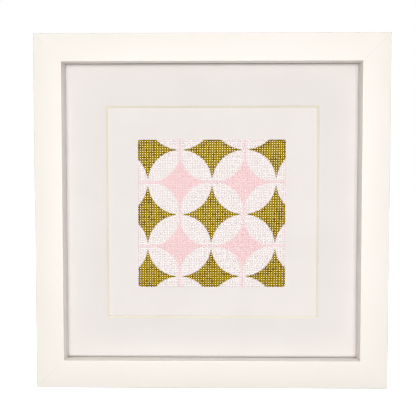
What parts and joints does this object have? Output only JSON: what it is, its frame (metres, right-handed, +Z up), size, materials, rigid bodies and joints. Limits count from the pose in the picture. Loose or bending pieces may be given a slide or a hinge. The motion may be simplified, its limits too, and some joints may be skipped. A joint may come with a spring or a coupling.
{
  "type": "needlepoint canvas panel in a box frame",
  "caption": "Painted open-mesh needlepoint canvas floated behind a bevelled window mount in a white wooden box frame, standing upright on its bottom rail.",
  "frame": {"origin": "on the ground under the middle of the frame, which stands upright on its bottom rail", "axes": "the picture faces -Y, +X is to the viewer's right, and +Z is up"},
  "size_m": [0.296, 0.034, 0.297],
  "materials": {
    "frame_paint": "white satin paint on wood",
    "spacer_card": "matte off-white",
    "mount_card": "matte off-white card with a cream core",
    "backing_card": "matte white",
    "painted_canvas": "painted cotton canvas in olive gold, pink and white",
    "hardboard": "smooth brown hardboard"
  },
  "bodies": {
    "root": {"frame_bottom": "frame_paint", "frame_right": "frame_paint", "frame_top": "frame_paint", "frame_left": "frame_paint", "spacer_bottom": "spacer_card", "spacer_top": "spacer_card", "spacer_left": "spacer_card", "spacer_right": "spacer_card", "window_mount": "mount_card", "mount_board": "backing_card", "needlepoint_canvas": "painted_canvas", "back_board": "hardboard"}
  },
  "joints": []
}
